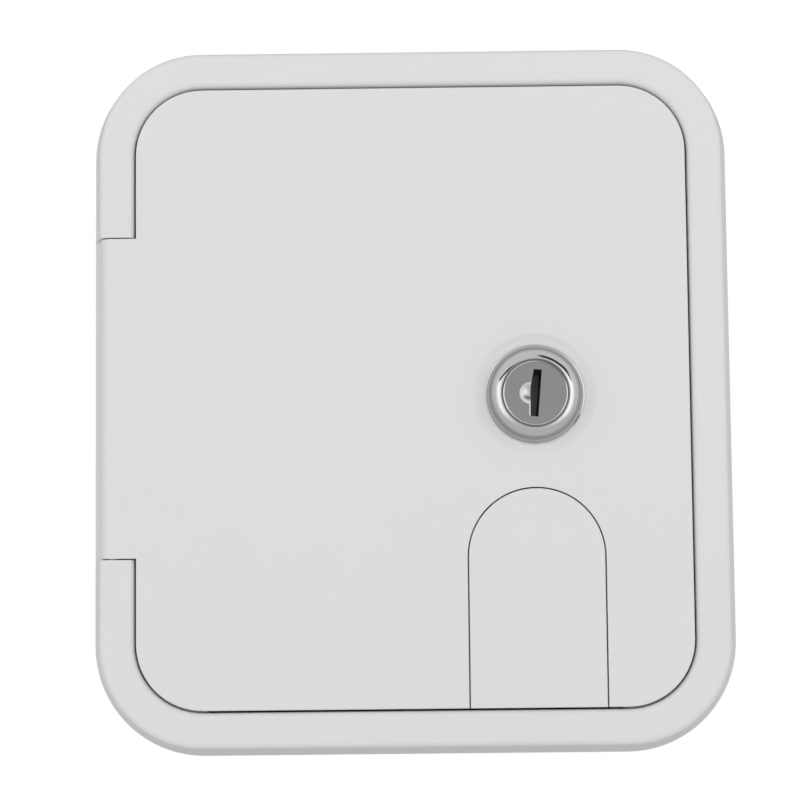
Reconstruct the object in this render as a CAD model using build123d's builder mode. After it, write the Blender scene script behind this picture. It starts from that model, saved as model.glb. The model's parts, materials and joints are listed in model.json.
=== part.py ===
from build123d import *
import math
import os

# Water inlet hatch for a caravan or camper: X right, Y into the wall, Z up, y = 0 is the wall face
# Heights in front of the wall are measured along -Y, because Plane.XZ looks that way
os.makedirs("parts", exist_ok=True)

# Flange and bezel
flange_w = 142.8
flange_h = 158.5
flange_r = 24.5
face_out = 9.0
side_draft = 2.1
skin = 2.2
bezel_edge_r = 1.5
draft_rate = side_draft / face_out
pocket_top = face_out - skin
pocket_rib_t = 1.6
pocket_rib_len = 10.0
pocket_rib_in = 24.7

# Door opening, with the same gap all round the door
rim_w = 9.6
rim_h = 9.7
rim_corner = 0.3
opening_w = flange_w - 2 * rim_w
opening_h = flange_h - 2 * rim_h
opening_r = flange_r - rim_w + rim_corner
opening_edge_r = 1.5
door_gap = 0.45
tray_wall = 2.0
door_t = 2.6
door_edge_r = 0.4
door_w = opening_w - 2 * door_gap
door_h = opening_h - 2 * door_gap
door_r = opening_r - door_gap
door_back = face_out - door_t

# Ledge under the door, and the gaskets on its two sides
ledge_out = 5.2
ledge_t = 2.6
ledge_w = 14.2
ledge_back = ledge_out - ledge_t
gasket_t = 2.0
gasket_inset = 11.3
gasket_low_inset = 3.4
gasket_r = 12.0
gasket_gap = 0.4
gasket_w = flange_w - 2 * gasket_inset
gasket_top = flange_h / 2 - gasket_inset
gasket_low = gasket_low_inset - flange_h / 2
seal_w = 2.0
seal_gap = 0.1
seal_drain = 7.0
seal_t = door_back - ledge_out - seal_gap

# Fixing screws of the frame, in the ledge under the door
fix_in_x = 8.3
fix_in_z = 12.05
fix_dx = opening_w - 2 * fix_in_x
fix_dz = opening_h - 2 * fix_in_z
fix_hole_r = 2.25
fix_head_r = 4.4
fix_boss_r = 5.2

# Hose inlet on the slope, measured along its own axis from the slope face
inlet_r = 14.0
inlet_hole_r = 14.5
inlet_flange_r = 26.0
inlet_flange_t = 4.0
inlet_gasket_t = 1.5
inlet_screw_ring = 21.8
inlet_screw_r = 1.75
inlet_screw_head_r = 3.2
inlet_screw_head_t = 2.0
inlet_cross_l = 3.2
inlet_cross_w = 0.8
inlet_cross_deep = 1.1
inlet_boss_r = 4.0
inlet_boss_len = 10.0
inlet_boss_floor = 1.5
inlet_screw_short = 2.0
inlet_pad_t = 2.0
neck_r = 10.8
neck_end = 14.5
spigot_r = 10.5
spigot_start = -13.0
spigot_end = -30.0
bore_r = 8.2
front_bore_r = 7.0
seat_w = 4.0
seat_r = 5.5
groove_start = 8.2
groove_w = 2.0
groove_deep = 1.2
oring_r = 0.6
swivel_start = 6.1
swivel_hub_end = 12.3
swivel_end = 30.0
swivel_r = 16.3
swivel_lobe_r = 1.7
swivel_lobe_in = 3.0
swivel_fit = 0.05
chamber_r = 12.6
thread_start = 21.0
thread_minor_r = 12.8
thread_major_r = 13.6
thread_pitch = 2.2
thread_turns = 4
clip_start = 12.6
clip_t = 1.2
clip_r = 12.1
clip_seat = 0.8
washer_t = 3.0
washer_gap = 0.3
washer_hole_r = 7.6
strainer_t = 0.6
strainer_brim_r = 10.5
strainer_wall_r = 7.2
strainer_top_r = 3.9
strainer_wall_h = 1.4
strainer_rise = 2.6
mesh_r = 0.45
mesh_step = 1.5
poppet_r = 7.0
poppet_t = 2.0
poppet_seal_t = 0.55
poppet_step = 0.6
stem_r = 2.0
stem_end = -12.5
guide_start = -9.0
guide_t = 3.0
guide_fit = 0.06
guide_rim = 1.2
spring_r = 3.0
spring_wire_r = 0.4

# Well behind the ledge: its slope is as long as the inlet flange needs
well_top_in = 14.05
well_low_drop = 0.45
well_w = opening_w - 2 * ledge_w
well_top = opening_h / 2 - well_top_in
well_bottom = -opening_h / 2 - well_low_drop
well_r = 16.0
well_low_r = 4.0
slope_margin = 7.94
slope_top_y = 14.0
slope_run = (inlet_flange_r + slope_margin) * math.sqrt(2)
well_depth = slope_top_y + slope_run
well_floor_rise = 8.0
floor_flat = 10.0
well_round = 8.0
well_h = well_top - well_bottom
well_mid_z = (well_top + well_bottom) / 2
slope_low_z = well_top - slope_run

# Hinge along the left edge: door wing, barrel flush with the face and two short pins
pin_side = 4.8
pin_x = -opening_w / 2 - pin_side
pin_out = 6.2
pin_r = 1.2
pin_len = 18.0
pin_in_door = 10.2
pin_fit = 0.05
barrel_r = face_out - pin_out
barrel_gap = 0.35
wing_end_in = 33.95
wing_z = opening_h / 2 - wing_end_in
notch_gap = 0.3
notch_z = wing_z + notch_gap
notch_floor = pin_out - barrel_r - barrel_gap
notch_floor_t = 2.2
strip_out = 4.5
strip_low = 0.25
pin_boss_len = 9.5
pin_boss_w = 5.4

# Lock in its shallow dish
lock_in = 20.5
lock_x = well_w / 2 - lock_in
lock_z = -0.15
dish_r = 13.6
dish_floor_r = 12.2
dish_depth = 0.35
dish_soft_r = 1.5
head_r = 11.05
head_foot_r = 10.45
head_foot_t = 0.38
head_rim_t = 0.5
head_rim_bevel = 0.1
head_shoulder_r = 10.15
head_shoulder_drop = 1.66
head_lean = 5.0
head_lip = 0.1
head_rise = 3.45
barrel_lock_r = 9.5
barrel_flat = 8.4
barrel_len = 17.5
lock_clear = 0.1
lock_boss_r = 14.5
lock_boss_t = 2.0
lock_seal_t = 0.35
lock_seal_w = 0.65
plug_r = 7.3
plug_fit = 0.05
plug_head_r = 7.13
plug_rim_w = 0.3
plug_rim_drop = 0.1
plug_sunk = 0.35
plug_groove_w = 0.42
plug_groove_deep = 0.85
key_w = 1.75
key_h = 10.4
key_right = 0.12
key_tilt = -5.0
key_bulge = 0.45
key_bulge_z = 1.3
key_edge = 0.3
key_edge_deep = 0.1
key_end_wall = 1.0
moon_r = 2.5
moon_deep = 0.75
moon_left = 1.1
nut_flats = 24.0
nut_t = 5.0
cam_end_gap = 1.3
cam_w = 12.0
cam_t = 2.0
cam_square = 6.0
cam_gap = 0.2
cam_screw_r = 1.9
cam_screw_len = 8.0
cam_washer_r = 5.0
cam_washer_t = 1.0
cam_head_flats = 7.0
cam_head_t = 2.8
cam_reach = well_w / 2 - lock_x - cam_end_gap
dish_out = face_out - dish_depth
housing_end = dish_out - barrel_len
cam_out = housing_end - cam_gap
plug_face = dish_out + head_rise - plug_sunk
screw_hole_end = cam_out - cam_t + cam_screw_len
key_deep = plug_face - screw_hole_end - key_end_wall

# Arched hose flap in the door
arch_left = 0.1
arch_drop = 35.85
arch_x = lock_x - arch_left
arch_z = lock_z - arch_drop
arch_r = 15.3
flap_gap = 0.3
flap_low_z = door_gap - opening_h / 2
flap_rim = 1.7
flap_rim_t = 1.0
flap_rim_gap = 0.15
flap_pin_up = 12.0
flap_rim_up = 8.5
flap_pin_z = arch_z + flap_pin_up
flap_rim_top = arch_z + flap_rim_up
flap_pin_out = 4.0
flap_pin_r = 1.0
flap_pin_len = 31.0
flap_lug_r = 2.3
flap_lug_t = 3.0
flap_lug_x = 6.5
door_lug_x = 13.7

# Keeper that the cam turns behind
keeper_in = 5.0
keeper_t = 2.3
keeper_w = 16.0
keeper_gap = 0.4
keeper_web = 1.8

# Stiffening ribs behind the door, clear of the lock, the flap and the well corners
rib_t = 1.5
rib_out = 2.4
rib_side = 6.5
rib_x = well_w / 2 - rib_side
rib_mid_x = arch_x - arch_r - 19.7
rib_z = opening_h / 2 - 22.5
rib_mid_z = lock_boss_r + 9.5

# Planes and axes used more than once
wall = Plane.XZ
inlet_y = (slope_top_y + well_depth) / 2
inlet_z = (well_top + slope_low_z) / 2
root_half = math.sqrt(0.5)
inlet_point = (0, inlet_y, inlet_z)
mouth = (0, -root_half, -root_half)
inlet = Plane(origin=inlet_point, x_dir=(1, 0, 0), z_dir=mouth)
inlet_side = Plane(origin=inlet_point, x_dir=(1, 0, 0), z_dir=(0, root_half, -root_half))
inlet_axis = Axis(inlet_point, mouth)
lock_side = Plane(origin=(lock_x, 0, lock_z), x_dir=(1, 0, 0), z_dir=(0, 0, 1))
lock_axis = Axis((lock_x, 0, lock_z), (0, 1, 0))


def half_at(out, half):
    return half - out * draft_rate


# Hollow of the bezel, left open at the back, with stiffening ribs standing across it
with BuildPart() as pocket:
    with BuildSketch(wall.offset(-0.5)):
        RectangleRounded(flange_w - 2 * skin, flange_h - 2 * skin, flange_r - skin)
    with BuildSketch(wall.offset(pocket_top)):
        RectangleRounded(
            2 * (half_at(pocket_top, flange_w / 2) - skin),
            2 * (half_at(pocket_top, flange_h / 2) - skin),
            half_at(pocket_top, flange_r) - skin,
        )
    loft(ruled=True)
    rib_in_x = opening_w / 2 + tray_wall / 2
    rib_in_z = opening_h / 2 + tray_wall / 2
    rib_dx = (opening_w - 2 * pocket_rib_in) / 3
    rib_dz = (opening_h - 2 * pocket_rib_in) / 3
    rib_hinge_z = notch_z + pin_boss_len + 2.3
    with BuildSketch(wall.offset(gasket_t)):
        with Locations((rib_in_x, -1.5 * rib_dz), (rib_in_x, -rib_dz / 2), (rib_in_x, rib_dz / 2)):
            Rectangle(pocket_rib_len, pocket_rib_t, align=(Align.MIN, Align.CENTER))
        with Locations((rib_in_x, 1.5 * rib_dz)):
            Rectangle(pocket_rib_len, pocket_rib_t, align=(Align.MIN, Align.CENTER))
        with Locations((-rib_in_x, -rib_hinge_z), (-rib_in_x, rib_hinge_z)):
            Rectangle(pocket_rib_len, pocket_rib_t, align=(Align.MAX, Align.CENTER))
        with Locations((-1.5 * rib_dx, rib_in_z), (-rib_dx / 2, rib_in_z), (rib_dx / 2, rib_in_z)):
            Rectangle(pocket_rib_t, pocket_rib_len, align=(Align.CENTER, Align.MIN))
        with Locations((1.5 * rib_dx, rib_in_z)):
            Rectangle(pocket_rib_t, pocket_rib_len, align=(Align.CENTER, Align.MIN))
        with Locations((-1.5 * rib_dx, -rib_in_z), (-rib_dx / 2, -rib_in_z), (1.5 * rib_dx, -rib_in_z)):
            Rectangle(pocket_rib_t, pocket_rib_len, align=(Align.CENTER, Align.MAX))
    extrude(amount=face_out, mode=Mode.SUBTRACT)

# Inside space of the well: rounded box, sloped upper back, floor falling to the front
well_side = [
    (-ledge_out - 1.2, well_top + 5),
    (slope_top_y - 5, well_top + 5),
    (well_depth, slope_low_z),
    (well_depth, well_bottom + well_floor_rise),
    (floor_flat, well_bottom),
    (-ledge_out - 1.2, well_bottom),
]
with BuildPart() as well_space:
    with BuildSketch(wall.offset(ledge_out + 1.2)):
        with Locations((0, well_mid_z)):
            Rectangle(well_w, well_h)
        fillet(vertices().group_by(Axis.Y)[-1], well_r)
        fillet(vertices().group_by(Axis.Y)[0], well_low_r)
    extrude(amount=-(ledge_out + 1.2 + well_depth))
    with BuildSketch(Plane.YZ):
        with BuildLine():
            Polyline(*well_side, close=True)
        make_face()
        fillet(vertices().group_by(Axis.X)[-1], well_round)
    extrude(amount=well_w, both=True, mode=Mode.INTERSECT)

# The same box one wall thickness larger gives the outside of the well
with BuildPart() as well_shell:
    with BuildSketch(wall.offset(ledge_back + 0.5)):
        with Locations((0, well_mid_z)):
            Rectangle(well_w + 2 * skin, well_h + 2 * skin)
        fillet(vertices().group_by(Axis.Y)[-1], well_r + skin)
        fillet(vertices().group_by(Axis.Y)[0], well_low_r + skin)
    extrude(amount=-(ledge_back + 0.5 + well_depth + skin))
    with BuildSketch(Plane.YZ):
        with BuildLine():
            Polyline(*well_side, close=True)
        make_face()
        fillet(vertices().group_by(Axis.X)[-1], well_round)
        offset(amount=skin)
    extrude(amount=well_w, both=True, mode=Mode.INTERSECT)

# Frame: drafted bezel, ledge, well and keeper in one moulding
with BuildPart() as frame:
    with BuildSketch(wall):
        RectangleRounded(flange_w, flange_h, flange_r)
    with BuildSketch(wall.offset(face_out)):
        RectangleRounded(
            2 * half_at(face_out, flange_w / 2),
            2 * half_at(face_out, flange_h / 2),
            half_at(face_out, flange_r),
        )
    loft(ruled=True)
    fillet(faces().sort_by(Axis.Y)[0].edges(), bezel_edge_r)
    add(pocket.part, mode=Mode.SUBTRACT)
    # Tray round the door, then the door opening with a rounded lip
    with BuildSketch(wall.offset(ledge_back)):
        RectangleRounded(opening_w + 2 * tray_wall, opening_h + 2 * tray_wall, opening_r + tray_wall)
    extrude(amount=pocket_top - ledge_back + 0.2)
    with BuildSketch(wall.offset(ledge_out)):
        RectangleRounded(opening_w, opening_h, opening_r)
    extrude(amount=face_out, mode=Mode.SUBTRACT)
    fillet(faces().sort_by(Axis.Y)[0].inner_wires()[0].edges(), opening_edge_r)
    add(well_shell.part)
    # Floor of the hinge notch and the two blocks that hold the hinge pins
    with BuildSketch(wall.offset(notch_floor - notch_floor_t)):
        with Locations((pin_x - barrel_r - barrel_gap, 0)):
            Rectangle(barrel_r + pin_side + 1.0, 2 * notch_z + 4, align=(Align.MIN, Align.CENTER))
    extrude(amount=notch_floor_t + 0.6)
    with BuildSketch(wall.offset(ledge_back)):
        with Locations((pin_x + 0.3, notch_z), (pin_x + 0.3, -notch_z - pin_boss_len)):
            Rectangle(pin_boss_w, pin_boss_len, align=(Align.CENTER, Align.MIN))
    extrude(amount=pocket_top - ledge_back + 0.2)
    # Notch for the wing: round about the pin, open to the door, its outer strip cut to a slant
    strip_x = pin_x - math.sqrt((barrel_r + barrel_gap) ** 2 - (pin_out - strip_out) ** 2)
    with BuildSketch(Plane.XY.offset(-notch_z)):
        with Locations((pin_x, -pin_out)):
            Circle(barrel_r + barrel_gap)
        with Locations((pin_x, -notch_floor)):
            Rectangle(pin_side, face_out, align=(Align.MIN, Align.MAX))
        with BuildLine():
            Polyline(
                (pin_x, -face_out - 1),
                (pin_x - flange_r, -face_out - 1),
                (pin_x - flange_r, -strip_low),
                (half_at(strip_low, -flange_w / 2), -strip_low),
                (strip_x, -strip_out),
                (pin_x, -pin_out),
                close=True,
            )
        make_face()
    extrude(amount=2 * notch_z, mode=Mode.SUBTRACT)
    # Screw bosses down to the wall
    with BuildSketch(wall):
        with GridLocations(fix_dx, fix_dz, 2, 2):
            Circle(fix_boss_r)
    extrude(amount=ledge_back + 0.5)
    # Pad and posts behind the slope for the inlet
    with BuildSketch(inlet.offset(-skin - inlet_pad_t)):
        Circle(inlet_flange_r + 1.0)
    extrude(amount=inlet_pad_t + 0.5)
    with BuildSketch(inlet.offset(-inlet_boss_len)):
        with PolarLocations(inlet_screw_ring, 4, start_angle=45):
            Circle(inlet_boss_r)
    extrude(amount=inlet_boss_len - skin)
    add(well_space.part, mode=Mode.SUBTRACT)
    # Keeper tab on the right wall of the well, with two gussets in front of it
    with BuildSketch(wall.offset(cam_out + keeper_gap)):
        with Locations((well_w / 2 + 0.5, lock_z)):
            Rectangle(keeper_in + 0.5, keeper_w, align=(Align.MAX, Align.CENTER))
    extrude(amount=keeper_t)
    with BuildSketch(Plane.XY.offset(lock_z)):
        with BuildLine():
            Polyline(
                (well_w / 2 + 0.5, -(cam_out + keeper_gap + keeper_t)),
                (well_w / 2 - keeper_in + 0.8, -(cam_out + keeper_gap + keeper_t)),
                (well_w / 2 + 0.5, -(cam_out + keeper_gap + keeper_t) - keeper_in),
                close=True,
            )
        make_face()
    extrude(amount=keeper_w / 2, both=True)
    with BuildSketch(Plane.XY.offset(lock_z)):
        with Locations((well_w / 2, -(cam_out + keeper_gap + keeper_t) - 0.1)):
            Rectangle(keeper_in + 1, keeper_in + 2, align=(Align.MAX, Align.MAX))
    extrude(amount=keeper_w / 2 - keeper_web, both=True, mode=Mode.SUBTRACT)
    # Holes: fixing screws, hinge pins, inlet and its screws
    with Locations(wall.offset(ledge_out)):
        with GridLocations(fix_dx, fix_dz, 2, 2):
            CounterSinkHole(fix_hole_r, fix_head_r, depth=ledge_out)
    with BuildSketch(Plane.XY):
        with Locations((pin_x, -pin_out)):
            Circle(pin_r)
    extrude(amount=notch_z + pin_boss_len + 0.5, both=True, mode=Mode.SUBTRACT)
    with BuildSketch(inlet.offset(-inlet_boss_len)):
        Circle(inlet_hole_r)
    extrude(amount=inlet_boss_len + 1, mode=Mode.SUBTRACT)
    with BuildSketch(inlet.offset(-inlet_boss_len + inlet_boss_floor)):
        with PolarLocations(inlet_screw_ring, 4, start_angle=45):
            Circle(inlet_screw_r)
    extrude(amount=inlet_boss_len, mode=Mode.SUBTRACT)
frame.part.label = "frame"
export_step(frame.part, "parts/frame.step")

# Wall gasket behind the flange, cut out round the screw bosses
gasket_h = gasket_top - gasket_low
with BuildPart() as wall_gasket:
    with BuildSketch(wall):
        with Locations((0, (gasket_top + gasket_low) / 2)):
            RectangleRounded(gasket_w, gasket_h, gasket_r)
        with Locations((0, well_mid_z)):
            Rectangle(
                well_w + 2 * skin + 2 * gasket_gap, well_h + 2 * skin + 2 * gasket_gap, mode=Mode.SUBTRACT
            )
        with GridLocations(fix_dx, fix_dz, 2, 2):
            Circle(fix_boss_r + gasket_gap, mode=Mode.SUBTRACT)
    extrude(amount=gasket_t)
wall_gasket.part.label = "wall_gasket"
export_step(wall_gasket.part, "parts/wall_gasket.step")

# Door seal on the ledge: both sides and the top, open along the bottom where water runs out
seal_out_w = opening_w - 2 * seal_gap
seal_out_h = opening_h - 2 * seal_gap
with BuildPart() as door_seal:
    with BuildSketch(wall.offset(ledge_out)):
        RectangleRounded(seal_out_w, seal_out_h, opening_r - seal_gap)
        RectangleRounded(
            seal_out_w - 2 * seal_w,
            seal_out_h - 2 * seal_w,
            opening_r - seal_gap - seal_w,
            mode=Mode.SUBTRACT,
        )
        with Locations((0, -opening_h / 2)):
            Rectangle(2 * well_w, 2 * seal_drain, mode=Mode.SUBTRACT)
    extrude(amount=seal_t)
door_seal.part.label = "door_seal"
export_step(door_seal.part, "parts/door_seal.step")

# Hinge pins, one at each end of the door wing
pin_low = wing_z - pin_in_door
with BuildPart() as hinge_pins:
    with BuildSketch(Plane.XY.offset(pin_low)):
        with Locations((pin_x, -pin_out)):
            Circle(pin_r)
    extrude(amount=pin_len)
    chamfer(edges().filter_by(GeomType.CIRCLE), 0.3)
    mirror(about=Plane.XY)
hinge_pins.part.label = "hinge_pins"
export_step(hinge_pins.part, "parts/hinge_pins.step")

# Door with its hinge wing, lock dish, arched hose opening and ribs behind
with BuildPart() as door:
    with BuildSketch(wall.offset(door_back)):
        RectangleRounded(door_w, door_h, door_r)
    extrude(amount=door_t)
    fillet(faces().sort_by(Axis.Y)[0].edges(), door_edge_r)
    # Wing and hinge barrel, drawn across the hinge
    with BuildSketch(Plane.XY.offset(-wing_z)):
        with Locations((pin_x, -face_out)):
            Rectangle(pin_side + door_gap + 1.5, door_t, align=(Align.MIN, Align.MIN))
        with Locations((pin_x, -pin_out)):
            Circle(barrel_r)
    extrude(amount=2 * wing_z)
    # Shallow dish for the lock and a thick ring behind it
    with BuildSketch(wall.offset(face_out)):
        with Locations((lock_x, lock_z)):
            Circle(dish_r)
    with BuildSketch(wall.offset(dish_out)):
        with Locations((lock_x, lock_z)):
            Circle(dish_floor_r)
    loft(mode=Mode.SUBTRACT)
    dish_rim = edges().filter_by(GeomType.CIRCLE).filter_by(lambda e: abs(e.radius - dish_r) < 0.01)
    fillet(dish_rim, dish_soft_r)
    with BuildSketch(wall.offset(door_back - lock_boss_t)):
        with Locations((lock_x, lock_z)):
            Circle(lock_boss_r)
    extrude(amount=lock_boss_t)
    with BuildSketch(wall.offset(door_back - lock_boss_t)):
        with Locations((lock_x, lock_z)):
            Circle(barrel_lock_r + lock_clear)
            Rectangle(2 * (barrel_flat + lock_clear), 4 * barrel_lock_r, mode=Mode.INTERSECT)
    extrude(amount=face_out, mode=Mode.SUBTRACT)
    # Stiffening ribs
    with BuildSketch(wall.offset(door_back - rib_out)):
        with Locations((-rib_x, 0), (rib_mid_x, 0)):
            Rectangle(rib_t, 2 * rib_z)
        with Locations((0, rib_z)):
            Rectangle(2 * rib_x + rib_t, rib_t)
        with Locations((rib_x, rib_z)):
            Rectangle(rib_t, rib_z - rib_mid_z, align=(Align.CENTER, Align.MAX))
        with Locations((0, rib_mid_z)):
            Rectangle(2 * rib_x + rib_t, rib_t)
        with Locations((rib_mid_x, -rib_mid_z), (rib_mid_x, -rib_z)):
            Rectangle(rib_x + rib_mid_x, rib_t, align=(Align.MAX, Align.CENTER))
    extrude(amount=rib_out)
    # Arched opening down to the bottom edge
    with BuildSketch(wall.offset(door_back - 3)):
        with Locations((arch_x, arch_z)):
            Circle(arch_r)
            Rectangle(2 * arch_r, door_h, align=(Align.CENTER, Align.MAX))
    extrude(amount=face_out, mode=Mode.SUBTRACT)
    # Lugs for the flap pin at both sides of the arch
    lug_right = Plane.YZ.offset(arch_x + door_lug_x - flap_lug_t / 2)
    lug_left = Plane.YZ.offset(arch_x - door_lug_x - flap_lug_t / 2)
    with BuildSketch(lug_right, lug_left):
        with Locations((-flap_pin_out, flap_pin_z)):
            Circle(flap_lug_r)
            Rectangle(door_back - flap_pin_out + 0.2, 2 * flap_lug_r, align=(Align.MAX, Align.CENTER))
            Circle(flap_pin_r, mode=Mode.SUBTRACT)
    extrude(amount=flap_lug_t)
    # Blind pin holes at both ends of the wing
    with BuildSketch(Plane.XY.offset(pin_low - 0.5), Plane.XY.offset(-wing_z - 0.1)):
        with Locations((pin_x, -pin_out)):
            Circle(pin_r + pin_fit)
    extrude(amount=pin_in_door + 0.6, mode=Mode.SUBTRACT)
door.part.label = "door"
export_step(door.part, "parts/door.step")

# Hose flap: arched leaf with a rim behind the door and two lugs on the pin
flap_r = arch_r - flap_gap
with BuildPart() as hose_flap:
    with BuildSketch(wall.offset(door_back)):
        with Locations((arch_x, arch_z)):
            Circle(flap_r)
            Rectangle(2 * flap_r, arch_z - flap_low_z, align=(Align.CENTER, Align.MAX))
    extrude(amount=door_t)
    fillet(faces().sort_by(Axis.Y)[0].edges(), 0.3)
    with BuildSketch(wall.offset(door_back - flap_rim_gap - flap_rim_t)):
        with Locations((arch_x, arch_z)):
            Circle(arch_r + flap_rim)
        with Locations((arch_x, flap_rim_top)):
            Rectangle(2 * (arch_r + flap_rim), 30, align=(Align.CENTER, Align.MAX), mode=Mode.INTERSECT)
        with Locations((arch_x, arch_z)):
            Rectangle(
                2 * (arch_r + flap_rim), arch_z - flap_low_z, align=(Align.CENTER, Align.MAX)
            )
    extrude(amount=flap_rim_t)
    with BuildSketch(wall.offset(door_back - flap_rim_gap - flap_rim_t)):
        with Locations((arch_x, arch_z)):
            Circle(flap_r - 1.5)
            Rectangle(2 * (flap_r - 1.5), arch_z - flap_low_z, align=(Align.CENTER, Align.MAX))
        with Locations((arch_x, flap_rim_top)):
            Rectangle(4 * flap_r, door_h, align=(Align.CENTER, Align.MAX), mode=Mode.INTERSECT)
    extrude(amount=flap_rim_t + 0.3)
    flap_lug_right = Plane.YZ.offset(arch_x + flap_lug_x - flap_lug_t / 2)
    flap_lug_left = Plane.YZ.offset(arch_x - flap_lug_x - flap_lug_t / 2)
    with BuildSketch(flap_lug_right, flap_lug_left):
        with Locations((-flap_pin_out, flap_pin_z)):
            Circle(flap_lug_r)
        with Locations((-flap_pin_out, flap_pin_z + 0.4)):
            Rectangle(door_back - flap_pin_out + 0.2, flap_lug_r + 1.6, align=(Align.MAX, Align.MAX))
        with Locations((-flap_pin_out, flap_pin_z)):
            Circle(flap_pin_r + pin_fit, mode=Mode.SUBTRACT)
    extrude(amount=flap_lug_t)
hose_flap.part.label = "hose_flap"
export_step(hose_flap.part, "parts/hose_flap.step")

# Flap pin
with BuildPart() as flap_pin:
    with BuildSketch(Plane.YZ.offset(arch_x)):
        with Locations((-flap_pin_out, flap_pin_z)):
            Circle(flap_pin_r)
    extrude(amount=flap_pin_len / 2, both=True)
    chamfer(edges().filter_by(GeomType.CIRCLE), 0.25)
flap_pin.part.label = "flap_pin"
export_step(flap_pin.part, "parts/flap_pin.step")

# Torsion spring round the flap pin, one leg on the door and one on the flap
coil_r = 1.65
coil_wire = 0.28
coil_len = 6.0
coil_centre = (arch_x - coil_len / 2, -flap_pin_out, flap_pin_z)
with BuildPart() as flap_spring:
    with BuildLine() as coil_path:
        Helix(pitch=1.0, height=coil_len, radius=coil_r, center=coil_centre, direction=(1, 0, 0))
    with BuildSketch(Plane(origin=coil_path.line @ 0, z_dir=coil_path.line % 0)):
        Circle(coil_wire)
    sweep(path=coil_path.line)
flap_spring.part.label = "flap_spring"
export_step(flap_spring.part, "parts/flap_spring.step")

# Lock head and barrel, turned about the lock axis: points are (radius, y)
head_top = -(dish_out + head_rise)
groove_r = plug_head_r + plug_groove_w
groove_y = head_top + plug_sunk + plug_groove_deep
with BuildPart() as lock_housing:
    with BuildSketch(lock_side):
        with BuildLine():
            Polyline(
                (groove_r + head_lip, head_top),
                (groove_r, head_top + head_lip),
                (groove_r, groove_y),
                (plug_r + plug_fit, groove_y),
                (plug_r + plug_fit, -housing_end),
                (barrel_lock_r, -housing_end),
                (barrel_lock_r, -dish_out),
                (head_r, -dish_out),
                (head_r, -dish_out - head_foot_t),
                (head_r - head_rim_bevel, -dish_out - head_rim_t),
                (head_foot_r, -dish_out - head_foot_t),
                (head_shoulder_r, head_top + head_shoulder_drop),
            )
            TangentArc(
                (groove_r + head_lip, head_top),
                (head_shoulder_r, head_top + head_shoulder_drop),
                tangent=Vector(1, 0).rotate(Axis.Z, head_lean),
            )
        make_face()
    revolve(axis=lock_axis)
    with BuildSketch(wall.offset(housing_end)):
        with Locations((lock_x, lock_z)):
            Circle(2 * barrel_lock_r)
            Rectangle(2 * barrel_flat, 4 * barrel_lock_r, mode=Mode.SUBTRACT)
    extrude(amount=barrel_len, mode=Mode.SUBTRACT)
    with BuildSketch(wall.offset(dish_out)):
        with Locations((lock_x, lock_z)):
            Circle(barrel_lock_r + 0.2 + lock_seal_w)
            Circle(barrel_lock_r + 0.2, mode=Mode.SUBTRACT)
    extrude(amount=lock_seal_t, mode=Mode.SUBTRACT)
lock_housing.part.label = "lock_housing"
export_step(lock_housing.part, "parts/lock_housing.step")

# Rubber ring in the groove under the lock head
with BuildPart() as lock_gasket:
    with BuildSketch(wall.offset(dish_out)):
        with Locations((lock_x, lock_z)):
            Circle(barrel_lock_r + 0.15 + lock_seal_w)
            Circle(barrel_lock_r + 0.25, mode=Mode.SUBTRACT)
    extrude(amount=lock_seal_t)
lock_gasket.part.label = "lock_gasket"
export_step(lock_gasket.part, "parts/lock_gasket.step")

# Lock nut behind the door
with BuildPart() as lock_nut:
    with BuildSketch(wall.offset(door_back - lock_boss_t - nut_t)):
        with Locations((lock_x, lock_z)):
            RegularPolygon(nut_flats / 2, 6, major_radius=False)
            Circle(barrel_lock_r, mode=Mode.SUBTRACT)
    extrude(amount=nut_t)
    chamfer(edges().filter_by(GeomType.CIRCLE), 0.4)
lock_nut.part.label = "lock_nut"
export_step(lock_nut.part, "parts/lock_nut.step")

# Left half of a shallow round hollow beside the keyway
moon_ball_r = (moon_r**2 + moon_deep**2) / (2 * moon_deep)
with BuildPart() as moon:
    with Locations((lock_x - moon_left, -(plug_face + moon_ball_r - moon_deep), lock_z)):
        Sphere(moon_ball_r)
    with Locations((lock_x, -plug_face, lock_z)):
        Box(30, 30, 30, align=(Align.MIN, Align.CENTER, Align.CENTER), mode=Mode.SUBTRACT)

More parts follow.
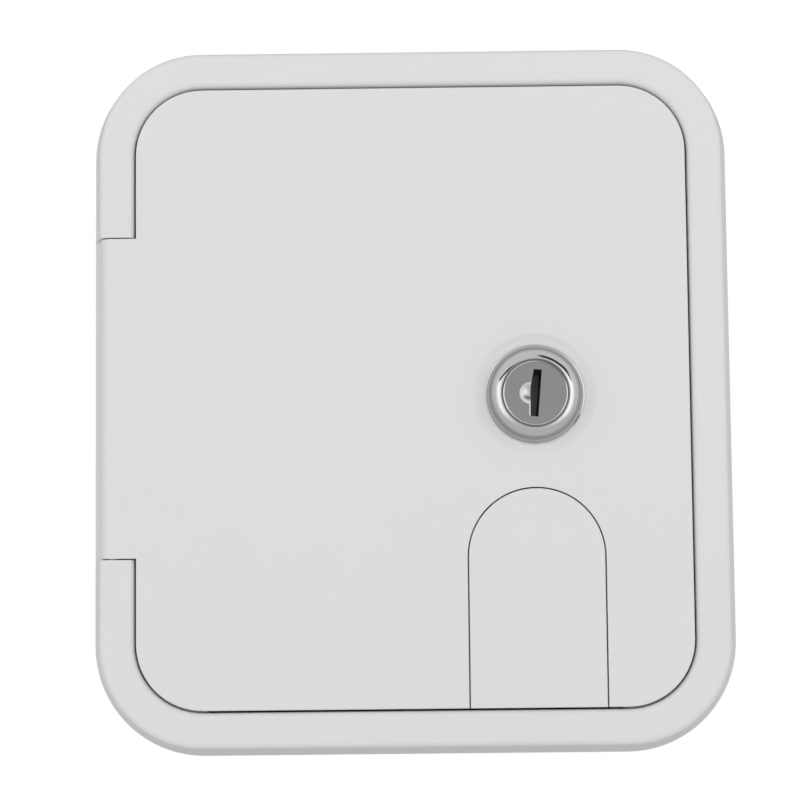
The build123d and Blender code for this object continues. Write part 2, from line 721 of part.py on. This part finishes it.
# Lock plug with the tilted keyway
with BuildPart() as lock_plug:
    with BuildSketch(wall.offset(housing_end)):
        with Locations((lock_x, lock_z)):
            Circle(plug_r)
    extrude(amount=plug_face - housing_end)
    with BuildSketch(wall.offset(plug_face)):
        with Locations((lock_x, lock_z)):
            Circle(plug_r + 1.0)
            Circle(plug_head_r, mode=Mode.SUBTRACT)
    extrude(amount=-plug_groove_deep - plug_fit, mode=Mode.SUBTRACT)
    plug_front = faces().sort_by(Axis.Y)[0]
    chamfer(plug_front.edges(), plug_rim_w, plug_rim_drop, reference=plug_front)
    with BuildSketch(wall.offset(cam_out - cam_t + 0.1)):
        with Locations((lock_x, lock_z)):
            Rectangle(cam_square, cam_square)
    extrude(amount=housing_end - cam_out + cam_t)
    key_place = Location((lock_x + key_right, lock_z, 0), (0, 0, key_tilt))
    with BuildSketch(wall.offset(plug_face - key_deep)):
        with Locations(key_place):
            Rectangle(key_w, key_h)
            Polygon(
                (-key_w / 2, key_h / 2),
                (-key_w / 2 - key_bulge, key_bulge_z),
                (-key_w / 2, -key_h / 2),
                align=None,
            )
    extrude(amount=key_deep, mode=Mode.SUBTRACT)
    with BuildSketch(wall.offset(plug_face - key_edge_deep)):
        with Locations(key_place):
            Polygon(
                (-key_w / 2 - key_bulge - key_edge, key_bulge_z),
                (-key_w / 2 - key_edge, -key_h / 2),
                (0, -key_h / 2),
                (0, key_bulge_z),
                align=None,
            )
    extrude(amount=key_edge_deep, mode=Mode.SUBTRACT)
    add(moon.part, mode=Mode.SUBTRACT)
    with BuildSketch(wall.offset(cam_out - cam_t)):
        with Locations((lock_x, lock_z)):
            Circle(cam_screw_r)
    extrude(amount=cam_screw_len, mode=Mode.SUBTRACT)
lock_plug.part.label = "lock_plug"
export_step(lock_plug.part, "parts/lock_plug.step")

# Cam, pointing up while unlocked
with BuildPart() as lock_cam:
    with BuildSketch(wall.offset(cam_out - cam_t)):
        with Locations((lock_x, lock_z)):
            Circle(cam_w / 2 + 1.0)
            Rectangle(cam_w, cam_reach, align=(Align.CENTER, Align.MIN))
        fillet(vertices().group_by(Axis.Y)[-1], 3.5)
        with Locations((lock_x, lock_z)):
            Rectangle(cam_square + 0.1, cam_square + 0.1, mode=Mode.SUBTRACT)
    extrude(amount=cam_t)
lock_cam.part.label = "lock_cam"
export_step(lock_cam.part, "parts/lock_cam.step")

# Cam washer and screw
washer_out = cam_out - cam_t
with BuildPart() as cam_washer:
    with BuildSketch(wall.offset(washer_out - cam_washer_t)):
        with Locations((lock_x, lock_z)):
            Circle(cam_washer_r)
            Circle(cam_screw_r + 0.15, mode=Mode.SUBTRACT)
    extrude(amount=cam_washer_t)
cam_washer.part.label = "cam_washer"
export_step(cam_washer.part, "parts/cam_washer.step")

with BuildPart() as cam_screw:
    with BuildSketch(wall.offset(washer_out - cam_washer_t - cam_head_t)):
        with Locations((lock_x, lock_z)):
            RegularPolygon(cam_head_flats / 2, 6, major_radius=False)
    extrude(amount=cam_head_t)
    with BuildSketch(wall.offset(washer_out - cam_washer_t)):
        with Locations((lock_x, lock_z)):
            Circle(cam_screw_r)
    extrude(amount=cam_washer_t + cam_screw_len - 1.0)
cam_screw.part.label = "cam_screw"
export_step(cam_screw.part, "parts/cam_screw.step")

# Inlet body, turned about its own axis: points are (radius, distance from the slope face)
flange_end = inlet_gasket_t + inlet_flange_t
with BuildPart() as inlet_body:
    with BuildSketch(inlet_side):
        with BuildLine():
            Polyline(
                (bore_r, spigot_end),
                (spigot_r - 1.0, spigot_end),
                (spigot_r, spigot_end + 1.0),
                (spigot_r, spigot_start),
                (inlet_r, spigot_start + 1.0),
                (inlet_r, inlet_gasket_t),
                (inlet_flange_r, inlet_gasket_t),
                (inlet_flange_r, flange_end - 0.8),
                (inlet_flange_r - 0.8, flange_end),
                (neck_r, flange_end),
                (neck_r, groove_start),
                (neck_r - groove_deep, groove_start),
                (neck_r - groove_deep, groove_start + groove_w),
                (neck_r, groove_start + groove_w),
                (neck_r, clip_start),
                (neck_r - clip_seat, clip_start),
                (neck_r - clip_seat, clip_start + clip_t),
                (neck_r, clip_start + clip_t),
                (neck_r, neck_end),
                (front_bore_r, neck_end),
                (front_bore_r, seat_w + 2.5),
                (seat_r, seat_w + 1.0),
                (seat_r, seat_w),
                (bore_r, seat_w),
                close=True,
            )
        make_face()
    revolve(axis=inlet_axis)
    with BuildSketch(inlet.offset(inlet_gasket_t)):
        with PolarLocations(inlet_screw_ring, 4, start_angle=45):
            Circle(inlet_screw_r + 0.25)
    extrude(amount=inlet_flange_t, mode=Mode.SUBTRACT)
inlet_body.part.label = "inlet_body"
export_step(inlet_body.part, "parts/inlet_body.step")

# Inlet gasket and screws
with BuildPart() as inlet_gasket:
    with BuildSketch(inlet):
        Circle(inlet_flange_r - 0.5)
        Circle(inlet_hole_r, mode=Mode.SUBTRACT)
        with PolarLocations(inlet_screw_ring, 4, start_angle=45):
            Circle(inlet_screw_r + 0.35, mode=Mode.SUBTRACT)
    extrude(amount=inlet_gasket_t)
inlet_gasket.part.label = "inlet_gasket"
export_step(inlet_gasket.part, "parts/inlet_gasket.step")

with BuildPart() as inlet_screws:
    with BuildSketch(inlet.offset(flange_end)):
        with PolarLocations(inlet_screw_ring, 4, start_angle=45):
            Circle(inlet_screw_head_r)
    extrude(amount=inlet_screw_head_t)
    fillet(faces().sort_by(inlet_axis)[-4:].edges(), inlet_screw_head_t * 0.45)
    with BuildSketch(inlet.offset(flange_end + inlet_screw_head_t)):
        with PolarLocations(inlet_screw_ring, 4, start_angle=45):
            Rectangle(inlet_cross_l, inlet_cross_w)
            Rectangle(inlet_cross_w, inlet_cross_l)
    extrude(amount=-inlet_cross_deep, mode=Mode.SUBTRACT)
    with BuildSketch(inlet.offset(-inlet_boss_len + inlet_screw_short)):
        with PolarLocations(inlet_screw_ring, 4, start_angle=45):
            Circle(inlet_screw_r)
    extrude(amount=inlet_boss_len - inlet_screw_short + flange_end)
inlet_screws.part.label = "inlet_screws"
export_step(inlet_screws.part, "parts/inlet_screws.step")

# Swivel hose coupling: hub on the neck, washer chamber, thread shown as rings, grip lobes outside
thread_points = []
for turn in range(thread_turns):
    ring = thread_start + (turn + 0.2) * thread_pitch
    thread_points.append((thread_minor_r, ring))
    thread_points.append((thread_major_r, ring + 0.27 * thread_pitch))
    thread_points.append((thread_major_r, ring + 0.45 * thread_pitch))
    thread_points.append((thread_minor_r, ring + 0.72 * thread_pitch))
with BuildPart() as swivel:
    with BuildSketch(inlet_side):
        with BuildLine():
            Polyline(
                (neck_r + swivel_fit, swivel_start),
                (swivel_r - 1.5, swivel_start),
                (swivel_r, swivel_start + 1.5),
                (swivel_r, swivel_end - 0.8),
                (swivel_r - 0.8, swivel_end),
                (thread_minor_r, swivel_end),
                *reversed(thread_points),
                (thread_minor_r, thread_start),
                (chamber_r, thread_start),
                (chamber_r, swivel_hub_end),
                (neck_r + swivel_fit, swivel_hub_end),
                close=True,
            )
        make_face()
    revolve(axis=inlet_axis)
    with BuildSketch(inlet.offset(swivel_start + swivel_lobe_in)):
        with PolarLocations(swivel_r - 0.2, 12):
            Circle(swivel_lobe_r)
        Circle(swivel_r - 1.0, mode=Mode.SUBTRACT)
    extrude(amount=swivel_end - swivel_start - 2 * swivel_lobe_in)
swivel.part.label = "swivel_coupling"
export_step(swivel.part, "parts/swivel_coupling.step")

# Clip that keeps the coupling on the neck, cut open at one side
with BuildPart() as swivel_clip:
    with BuildSketch(inlet.offset(clip_start)):
        Circle(clip_r)
        Circle(neck_r - clip_seat, mode=Mode.SUBTRACT)
        with Locations((0, clip_r)):
            Rectangle(4.0, 8.0, mode=Mode.SUBTRACT)
    extrude(amount=clip_t)
swivel_clip.part.label = "swivel_clip"
export_step(swivel_clip.part, "parts/swivel_clip.step")

# Ring seal in the neck groove
with BuildPart() as neck_seal:
    with BuildSketch(inlet_side):
        with Locations((neck_r - oring_r, groove_start + groove_w / 2)):
            Circle(oring_r)
    revolve(axis=inlet_axis)
neck_seal.part.label = "neck_seal"
export_step(neck_seal.part, "parts/neck_seal.step")

# Hose washer against the end of the neck
with BuildPart() as hose_washer:
    with BuildSketch(inlet.offset(neck_end)):
        Circle(chamber_r - washer_gap)
        Circle(washer_hole_r, mode=Mode.SUBTRACT)
    extrude(amount=washer_t)
    chamfer(edges().filter_by(GeomType.CIRCLE), 0.3)
hose_washer.part.label = "hose_washer"
export_step(hose_washer.part, "parts/hose_washer.step")

# Strainer: thin dome with rows of holes, its brim on the washer
brim = neck_end + washer_t
strainer_top = brim + strainer_rise
with BuildPart() as strainer:
    with BuildSketch(inlet_side):
        with BuildLine():
            Polyline(
                (0, strainer_top),
                (strainer_top_r - 0.4, strainer_top),
                (strainer_wall_r - strainer_t, brim + strainer_wall_h - 0.2),
                (strainer_wall_r - strainer_t, brim),
                (strainer_brim_r, brim),
                (strainer_brim_r, brim + strainer_t),
                (strainer_wall_r, brim + strainer_t),
                (strainer_wall_r, brim + strainer_wall_h),
                (strainer_top_r, strainer_top + strainer_t),
                (0, strainer_top + strainer_t),
                close=True,
            )
        make_face()
    revolve(axis=inlet_axis)
    with BuildSketch(inlet.offset(neck_end)):
        Circle(mesh_r)
        with PolarLocations(mesh_step, 6):
            Circle(mesh_r)
        with PolarLocations(2 * mesh_step, 12):
            Circle(mesh_r)
        with PolarLocations(3 * mesh_step, 16):
            Circle(mesh_r)
    extrude(amount=12.0, mode=Mode.SUBTRACT)
strainer.part.label = "strainer"
export_step(strainer.part, "parts/strainer.step")

# Check valve: poppet with stem, its seal ring, guide and spring
disc_front = seat_w - poppet_step
disc_back = disc_front - poppet_t
hub_r = seat_r - 0.6
with BuildPart() as poppet:
    with BuildSketch(inlet_side):
        with BuildLine():
            Polyline(
                (0, stem_end),
                (stem_r - 0.4, stem_end),
                (stem_r, stem_end + 0.4),
                (stem_r, disc_back),
                (poppet_r, disc_back),
                (poppet_r, disc_front - 0.3),
                (poppet_r - 0.3, disc_front),
                (hub_r, disc_front),
                (hub_r, disc_front + 0.5),
                (0, disc_front + 1.8),
                close=True,
            )
        make_face()
    revolve(axis=inlet_axis)
poppet.part.label = "valve_poppet"
export_step(poppet.part, "parts/valve_poppet.step")

with BuildPart() as poppet_seal:
    with BuildSketch(inlet.offset(disc_front)):
        Circle(poppet_r - 0.2)
        Circle(hub_r, mode=Mode.SUBTRACT)
    extrude(amount=poppet_seal_t)
poppet_seal.part.label = "poppet_seal"
export_step(poppet_seal.part, "parts/poppet_seal.step")

with BuildPart() as valve_guide:
    with BuildSketch(inlet.offset(guide_start - guide_t)):
        Circle(bore_r)
        Circle(bore_r - guide_rim, mode=Mode.SUBTRACT)
        Circle(stem_r + guide_fit + guide_rim)
        with PolarLocations(0, 3):
            Rectangle(bore_r - 0.5, guide_rim, align=(Align.MIN, Align.CENTER))
        Circle(stem_r + guide_fit, mode=Mode.SUBTRACT)
    extrude(amount=guide_t)
valve_guide.part.label = "valve_guide"
export_step(valve_guide.part, "parts/valve_guide.step")

valve_spring_len = disc_back - guide_start - 2 * spring_wire_r
spring_start = inlet.offset(guide_start + spring_wire_r)
with BuildPart() as valve_spring:
    with BuildLine() as spring_path:
        Helix(
            pitch=valve_spring_len / 4,
            height=valve_spring_len,
            radius=spring_r,
            center=spring_start.origin,
            direction=mouth,
        )
    with BuildSketch(Plane(origin=spring_path.line @ 0, z_dir=spring_path.line % 0)):
        Circle(spring_wire_r)
    sweep(path=spring_path.line)
valve_spring.part.label = "valve_spring"
export_step(valve_spring.part, "parts/valve_spring.step")
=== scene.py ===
import json
import math

import bpy
from mathutils import Matrix, Vector

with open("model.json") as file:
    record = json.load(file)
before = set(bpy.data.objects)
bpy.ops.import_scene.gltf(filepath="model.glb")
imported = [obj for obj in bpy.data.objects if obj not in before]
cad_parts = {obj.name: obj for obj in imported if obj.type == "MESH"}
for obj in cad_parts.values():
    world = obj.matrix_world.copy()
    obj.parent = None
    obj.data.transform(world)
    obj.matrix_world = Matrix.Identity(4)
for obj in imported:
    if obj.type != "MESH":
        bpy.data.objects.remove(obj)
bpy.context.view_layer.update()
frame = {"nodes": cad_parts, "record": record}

MM = 0.001

# Places that materials follow, in the frame's own metres: the lock points out along minus Y
LOCK = Vector((27.1, 0.0, -0.15)) * MM
LOCK_AXIS = Vector((0, 1, 0))
LOCK_THREAD = (-4.0 * MM, 8.8 * MM)
HEAD_TOP = Vector((0, -12.1 * MM, 0))
HEAD_R = 10.1 * MM
GROOVE_R = 7.56 * MM
GROOVE_START = 0.3 * MM
PLUG_FACE = Vector((0, -11.75 * MM, 0))
PLUG_HEAD_R = 7.13 * MM
PLUG_RIM_W = 0.18 * MM
BOWL_DEPTH = 0.8 * MM
KEYWAY_END = 19 * MM

# The inlet points into the well, along its own sloped axis
MOUTH = Vector((0, -math.sqrt(0.5), -math.sqrt(0.5)))
INLET = Vector((0, 37.9992, 31.5008)) * MM
SPIGOT_THREAD = (-29.5 * MM, -15 * MM)

WHITE = (0.735, 0.735, 0.735)
PLASTIC_IOR = 1.47
FLOOR_Z = -0.60
FLOOR_SIZE = 6.0
FADE_START = 0.25
FADE_END = 1.1
LAMP_SIZE = (0.9, 0.7)
BAR_DARKNESS = 0.95
BAR_SOFT = 0.012
END_SOFT = 0.04


# Small helpers for shader nodes
def node(tree, kind, **props):
    made = tree.nodes.new(kind)
    for key, value in props.items():
        setattr(made, key, value)
    return made


def put(made, key, value):
    made.inputs[key].default_value = value


def wire(tree, a, out, b, into):
    tree.links.new(a.outputs[out], b.inputs[into])


def math_node(tree, operation, a, b):
    made = node(tree, "ShaderNodeMath", operation=operation)
    for slot, value in enumerate((a, b)):
        if isinstance(value, (int, float)):
            made.inputs[slot].default_value = value
        else:
            tree.links.new(value, made.inputs[slot])
    return made.outputs["Value"]


def remap(tree, value, from_low, from_high, to_low, to_high):
    made = node(tree, "ShaderNodeMapRange")
    put(made, "From Min", from_low)
    put(made, "From Max", from_high)
    put(made, "To Min", to_low)
    put(made, "To Max", to_high)
    tree.links.new(value, made.inputs["Value"])
    return made.outputs["Result"]


def noise(tree, coords, scale, detail=3.0, stretch=(1, 1, 1)):
    mapping = node(tree, "ShaderNodeMapping")
    put(mapping, "Scale", stretch)
    wire(tree, coords, "Object", mapping, "Vector")
    made = node(tree, "ShaderNodeTexNoise")
    put(made, "Scale", scale)
    put(made, "Detail", detail)
    wire(tree, mapping, "Vector", made, "Vector")
    return made.outputs["Fac"]


def blend(tree, factor, a, b):
    made = node(tree, "ShaderNodeMix", data_type="RGBA")
    tree.links.new(factor, made.inputs["Factor"])
    for slot, value in ((6, a), (7, b)):
        if isinstance(value, tuple):
            made.inputs[slot].default_value = value
        else:
            tree.links.new(value, made.inputs[slot])
    return made.outputs[2]


def grey(value):
    return (value, value, value, 1.0)


class Finish:
    """One Principled material with tone variation, roughness variation and a fine bump.
    Its coordinates are the object's own, which lie in the frame's metres."""

    def __init__(self, name, color, rough, metal=0.0):
        self.material = bpy.data.materials.new(name)
        self.material.use_nodes = True
        self.tree = self.material.node_tree
        self.tree.nodes.clear()
        self.color = color
        self.rough = rough
        self.out = node(self.tree, "ShaderNodeOutputMaterial")
        self.shader = node(self.tree, "ShaderNodeBsdfPrincipled")
        wire(self.tree, self.shader, "BSDF", self.out, "Surface")
        put(self.shader, "Metallic", metal)
        put(self.shader, "IOR", PLASTIC_IOR)
        put(self.shader, "Roughness", rough)
        self.coords = node(self.tree, "ShaderNodeTexCoord")
        self.normal = None

    def tone(self, share, scale, stretch=(1, 1, 1)):
        spots = noise(self.tree, self.coords, scale, 4.0, stretch)
        low = tuple(v * (1 - share) for v in self.color) + (1.0,)
        high = tuple(min(1.0, v * (1 + share)) for v in self.color) + (1.0,)
        self.base = blend(self.tree, remap(self.tree, spots, 0.3, 0.7, 0, 1), low, high)
        self.tree.links.new(self.base, self.shader.inputs["Base Color"])
        return self

    def grain(self, scale, depth, rough_share=0.0, stretch=(1, 1, 1)):
        fine = noise(self.tree, self.coords, scale, 2.0, stretch)
        if rough_share:
            low, high = self.rough * (1 - rough_share), min(1.0, self.rough * (1 + rough_share))
            self.roughness = remap(self.tree, fine, 0.3, 0.7, low, high)
            self.tree.links.new(self.roughness, self.shader.inputs["Roughness"])
        self.bump(fine, depth)
        return self

    def bump(self, height, depth):
        made = node(self.tree, "ShaderNodeBump")
        put(made, "Distance", depth)
        self.tree.links.new(height, made.inputs["Height"])
        if self.normal is not None:
            self.tree.links.new(self.normal, made.inputs["Normal"])
        self.normal = made.outputs["Normal"]
        self.tree.links.new(self.normal, self.shader.inputs["Normal"])

    def along(self, point, axis):
        shift = node(self.tree, "ShaderNodeVectorMath", operation="SUBTRACT")
        wire(self.tree, self.coords, "Object", shift, 0)
        shift.inputs[1].default_value = point
        reach = node(self.tree, "ShaderNodeVectorMath", operation="DOT_PRODUCT")
        wire(self.tree, shift, "Vector", reach, 0)
        reach.inputs[1].default_value = axis
        return reach.outputs["Value"]

    def from_axis(self, point):
        shift = node(self.tree, "ShaderNodeVectorMath", operation="SUBTRACT")
        wire(self.tree, self.coords, "Object", shift, 0)
        shift.inputs[1].default_value = point
        flat = node(self.tree, "ShaderNodeVectorMath", operation="MULTIPLY")
        wire(self.tree, shift, "Vector", flat, 0)
        flat.inputs[1].default_value = (1, 0, 1)
        size = node(self.tree, "ShaderNodeVectorMath", operation="LENGTH")
        wire(self.tree, flat, "Vector", size, 0)
        return size.outputs["Value"]

    def between(self, value, low, high):
        above = math_node(self.tree, "GREATER_THAN", value, low)
        below = math_node(self.tree, "LESS_THAN", value, high)
        return math_node(self.tree, "MULTIPLY", above, below)

    def specks(self, scale, radius, color):
        cells = node(self.tree, "ShaderNodeTexVoronoi")
        put(cells, "Scale", scale)
        wire(self.tree, self.coords, "Object", cells, "Vector")
        dots = math_node(self.tree, "LESS_THAN", cells.outputs["Distance"], radius * scale)
        return self.patch(dots, color)

    def rings(self, point, axis, span, pitch, depth):
        reach = self.along(point, axis)
        wave = math_node(self.tree, "PINGPONG", reach, pitch / 2)
        height = math_node(self.tree, "DIVIDE", wave, pitch / 2)
        gate = self.between(reach, *span)
        self.bump(math_node(self.tree, "MULTIPLY", gate, height), depth)
        return self

    def patch(self, mask, color, rough=None):
        self.base = blend(self.tree, mask, self.base, color)
        self.tree.links.new(self.base, self.shader.inputs["Base Color"])
        if rough is not None:
            span = math_node(self.tree, "SUBTRACT", rough, self.roughness)
            step = math_node(self.tree, "MULTIPLY", mask, span)
            self.roughness = math_node(self.tree, "ADD", self.roughness, step)
            self.tree.links.new(self.roughness, self.shader.inputs["Roughness"])
        return self


# Satin moulded plastic of the frame, the door and its flap
def moulded(name, rough):
    made = Finish(name, WHITE, rough).tone(0.008, 14.0).grain(1500, 0.000004, 0.12)
    made.specks(150.0, 0.11 * MM, grey(0.42))
    put(made.shader, "Subsurface Weight", 0.05)
    put(made.shader, "Subsurface Radius", (0.004, 0.004, 0.004))
    put(made.shader, "Subsurface Scale", 0.6)
    return made.material


def inlet_plastic():
    made = Finish("inlet_plastic", (0.60, 0.60, 0.60), 0.38).tone(0.03, 20.0)
    made.grain(1200, 0.000006, 0.12)
    return made.rings(INLET, MOUTH, SPIGOT_THREAD, 1.8 * MM, 0.6 * MM).material


def coupling_plastic():
    made = Finish("coupling_plastic", (0.018, 0.018, 0.020), 0.42).tone(0.2, 30.0)
    return made.grain(1800, 0.00002, 0.1).material


def seal_rubber():
    made = Finish("seal_rubber", (0.012, 0.012, 0.012), 0.62).tone(0.2, 40.0)
    return made.grain(900, 0.00002, 0.1).material


def foam():
    made = Finish("foam", (0.045, 0.045, 0.047), 0.85).tone(0.25, 60.0)
    return made.grain(700, 0.00012, 0.1).material


# Bright plating of the lock head; its threaded barrel shows behind the door
def chrome():
    made = Finish("chrome", (0.66, 0.66, 0.66), 0.05, metal=1.0).tone(0.02, 80.0)
    made.grain(500, 0.000001, 0.2)
    made.rings(LOCK, LOCK_AXIS, LOCK_THREAD, 1.2 * MM, 0.5 * MM)
    # Painted shade: the chrome in the groove round the plug, below the head top, is painted dark
    # grey, with a rougher finish
    groove = math_node(made.tree, "LESS_THAN", made.from_axis(LOCK), GROOVE_R)
    sunk = math_node(made.tree, "GREATER_THAN", made.along(HEAD_TOP, LOCK_AXIS), GROOVE_START)
    made.patch(math_node(made.tree, "MULTIPLY", groove, sunk), grey(0.40), 0.35)
    # Painted shade: a dark ring is painted on the head's outer flank, standing in for its dark
    # reflection and shadow
    flank = remap(made.tree, made.from_axis(LOCK), HEAD_R - 0.8 * MM, HEAD_R - 0.1 * MM, 0.0, 1.0)
    head = remap(made.tree, made.from_axis(LOCK), HEAD_R, HEAD_R + 0.2 * MM, 1.0, 0.0)
    return made.patch(math_node(made.tree, "MULTIPLY", flank, head), grey(0.30)).material


# Brushed plug: polished rim with a painted highlight, thumb hollow painted bright as a painted
# reflection and painted darker in its deep part, rougher inside the dark keyway
def plug_metal():
    made = Finish("plug_metal", (0.35, 0.35, 0.35), 0.36, metal=1.0)
    made.tone(0.05, 60.0, (60, 60, 1.5)).grain(60, 0.000008, 0.2, (60, 60, 1.5))
    deep = made.along(PLUG_FACE, LOCK_AXIS)
    # Painted reflection: the hollow is painted a bright grey, besides its smoother polish
    made.patch(made.between(deep, 0.03 * MM, BOWL_DEPTH), grey(0.90), 0.24)
    # Painted shade: the hollow is painted darker towards its deeper part
    bowl = math_node(made.tree, "LESS_THAN", deep, BOWL_DEPTH)
    shade = remap(made.tree, deep, 0.3 * MM, 0.7 * MM, 0.0, 0.7)
    made.patch(math_node(made.tree, "MULTIPLY", bowl, shade), grey(0.42))
    made.patch(made.between(deep, BOWL_DEPTH, KEYWAY_END), grey(0.35), 0.5)
    # Painted highlight: the chamfered rim is painted a lighter grey, besides its smoother polish
    rim = made.between(made.from_axis(LOCK), PLUG_HEAD_R - PLUG_RIM_W, PLUG_HEAD_R)
    return made.patch(rim, grey(0.7), 0.2).material


def steel():
    made = Finish("steel", (0.50, 0.50, 0.51), 0.30, metal=1.0).tone(0.06, 60.0)
    return made.grain(500, 0.00001, 0.15).material


def valve_plastic():
    made = Finish("valve_plastic", (0.55, 0.54, 0.49), 0.45).tone(0.04, 40.0)
    return made.grain(900, 0.00001, 0.1).material


finishes = {
    "shell_plastic": moulded("shell_plastic", 0.42),
    "door_plastic": moulded("door_plastic", 0.40),
    "inlet_plastic": inlet_plastic(),
    "coupling_plastic": coupling_plastic(),
    "seal_rubber": seal_rubber(),
    "foam": foam(),
    "chrome": chrome(),
    "plug_metal": plug_metal(),
    "steel": steel(),
    "valve_plastic": valve_plastic(),
}
for part in frame["record"]["subparts"]:
    mesh = frame["nodes"][part["node"]].data
    mesh.materials.clear()
    mesh.materials.append(finishes[part["material_slot"]])

# Pale plain floor far below, which fades into the white background away from the object
bpy.ops.mesh.primitive_plane_add(size=FLOOR_SIZE, location=(0, 0.2, FLOOR_Z))
floor = bpy.context.object
floor.name = "floor"
floor.visible_glossy = False
paint = Finish("floor_paint", (0.92, 0.92, 0.92), 0.8).tone(0.01, 5.0).grain(60, 0.0001, 0.05)
put(paint.shader, "Emission Color", grey(1.0))
put(paint.shader, "Emission Strength", 0.115)
away = node(paint.tree, "ShaderNodeVectorMath", operation="LENGTH")
wire(paint.tree, paint.coords, "Object", away, 0)
sight = node(paint.tree, "ShaderNodeLightPath").outputs["Is Camera Ray"]
fade = remap(paint.tree, away.outputs["Value"], FADE_START, FADE_END, 0.0, 1.0)
paper = node(paint.tree, "ShaderNodeEmission")
put(paper, "Color", grey(1.0))
either = node(paint.tree, "ShaderNodeMixShader")
paint.tree.links.new(math_node(paint.tree, "MULTIPLY", sight, fade), either.inputs["Fac"])
paint.tree.links.new(paint.shader.outputs["BSDF"], either.inputs[1])
paint.tree.links.new(paper.outputs["Emission"], either.inputs[2])
paint.tree.links.new(either.outputs["Shader"], paint.out.inputs["Surface"])
floor.data.materials.append(paint.material)


# Two large soft lamps, left out of mirror reflections
def lamp(name, where, power):
    data = bpy.data.lights.new(name, "AREA")
    data.shape = "RECTANGLE"
    data.size, data.size_y = LAMP_SIZE
    data.energy = power
    made = bpy.data.objects.new(name, data)
    bpy.context.scene.collection.objects.link(made)
    made.location = where
    made.rotation_euler = (-Vector(where)).to_track_quat("-Z", "Y").to_euler()
    made.visible_glossy = False
    made.visible_camera = False


lamp("key", (0.60, -0.65, 0.32), 1.90)
lamp("fill", (-0.60, -0.65, 0.32), 1.84)

# Studio: white behind the object, soft light that is weaker from above and behind, and a mirror world
world = bpy.data.worlds.new("studio")
bpy.context.scene.world = world
world.use_nodes = True
sky = world.node_tree
sky.nodes.clear()
compass = node(sky, "ShaderNodeTexCoord")
parts = node(sky, "ShaderNodeSeparateXYZ")
wire(sky, compass, "Generated", parts, "Vector")
side = math_node(sky, "ABSOLUTE", parts.outputs["X"], 0)
height = parts.outputs["Z"]
front = math_node(sky, "MULTIPLY", parts.outputs["Y"], -1.0)


def backdrop(strength):
    made = node(sky, "ShaderNodeBackground")
    put(made, "Color", grey(1.0))
    if isinstance(strength, (int, float)):
        put(made, "Strength", strength)
    else:
        sky.links.new(strength, made.inputs["Strength"])
    return made.outputs["Background"]


def inside(value, low, high, soft):
    rise = remap(sky, value, low - soft, low + soft, 0, 1)
    fall = remap(sky, value, high - soft, high + soft, 1, 0)
    return math_node(sky, "MULTIPLY", rise, fall)


soft_light = remap(sky, front, -1, 1, 0.67, 0.955)
soft_light = math_node(sky, "MULTIPLY", soft_light, remap(sky, height, 0, 1, 1.0, 0.52))
soft_light = math_node(sky, "MULTIPLY", soft_light, remap(sky, height, -1, 0, 1.05, 1.0))

# Bright patches at both sides, which the lock head mirrors
across_wings = inside(side, 0.28, 0.66, 0.16)
up_wings = inside(height, -0.28, 0.34, 0.12)
wing_light = math_node(sky, "MULTIPLY", math_node(sky, "MULTIPLY", across_wings, up_wings), 0.75)
mirror_light = math_node(sky, "ADD", remap(sky, height, -0.6, 0.4, 0.60, 0.74), wing_light)


# Thin dark bars of the studio that the bright plating shows: a slanted one right, a level one left
def bar(light, reach, ends, slope, low, high):
    level = math_node(sky, "ADD", height, math_node(sky, "MULTIPLY", reach, slope))
    length = inside(reach, *ends, END_SOFT)
    mask = math_node(sky, "MULTIPLY", length, inside(level, low, high, BAR_SOFT))
    dark = math_node(sky, "MULTIPLY", mask, BAR_DARKNESS)
    return math_node(sky, "MULTIPLY", light, math_node(sky, "SUBTRACT", 1.0, dark))


rightward = parts.outputs["X"]
leftward = math_node(sky, "MULTIPLY", rightward, -1.0)
mirror_light = bar(mirror_light, rightward, (0.10, 0.60), 0.44, 0.51, 0.77)
mirror_light = bar(mirror_light, leftward, (0.0, 0.58), 0.0, 0.28, 0.37)
mirror_light = math_node(sky, "MULTIPLY", mirror_light, remap(sky, front, -0.3, 0.1, 0.35, 1.0))


def choose(ray, first, second):
    made = node(sky, "ShaderNodeMixShader")
    sky.links.new(rays.outputs[ray], made.inputs["Fac"])
    sky.links.new(first, made.inputs[1])
    sky.links.new(second, made.inputs[2])
    return made.outputs["Shader"]


rays = node(sky, "ShaderNodeLightPath")
lit = choose("Is Glossy Ray", backdrop(soft_light), backdrop(mirror_light))
seen = choose("Is Camera Ray", lit, backdrop(1.0))
sky_out = node(sky, "ShaderNodeOutputWorld")
sky.links.new(seen, sky_out.inputs["Surface"])

# Camera, fitted to the photograph's lines: angles in degrees
focal_px = 2400.0
image_px = 800.0
yaw, pitch, roll = (math.radians(angle) for angle in (-0.401, 5.382, -0.601))
eye = Vector((0.9, -537.9, -51.0)) * MM
forward = Vector((math.sin(yaw) * math.cos(pitch), math.cos(yaw) * math.cos(pitch), math.sin(pitch)))
rightward_level = Vector((math.cos(yaw), -math.sin(yaw), 0.0))
upright = rightward_level.cross(forward)
across = math.cos(roll) * rightward_level + math.sin(roll) * upright
above = -math.sin(roll) * rightward_level + math.cos(roll) * upright
cam_data = bpy.data.cameras.new("camera")
cam_data.sensor_fit = "HORIZONTAL"
cam_data.sensor_width = 36.0
cam_data.lens = focal_px / image_px * cam_data.sensor_width
cam_data.clip_start = 0.01
cam_data.clip_end = 20.0
camera = bpy.data.objects.new("camera", cam_data)
bpy.context.scene.collection.objects.link(camera)
turn = Matrix((across, above, -forward)).transposed().to_4x4()
camera.matrix_world = Matrix.Translation(eye) @ turn
bpy.context.scene.camera = camera
bpy.context.scene.view_settings.view_transform = "Standard"
bpy.context.scene.view_settings.look = "None"
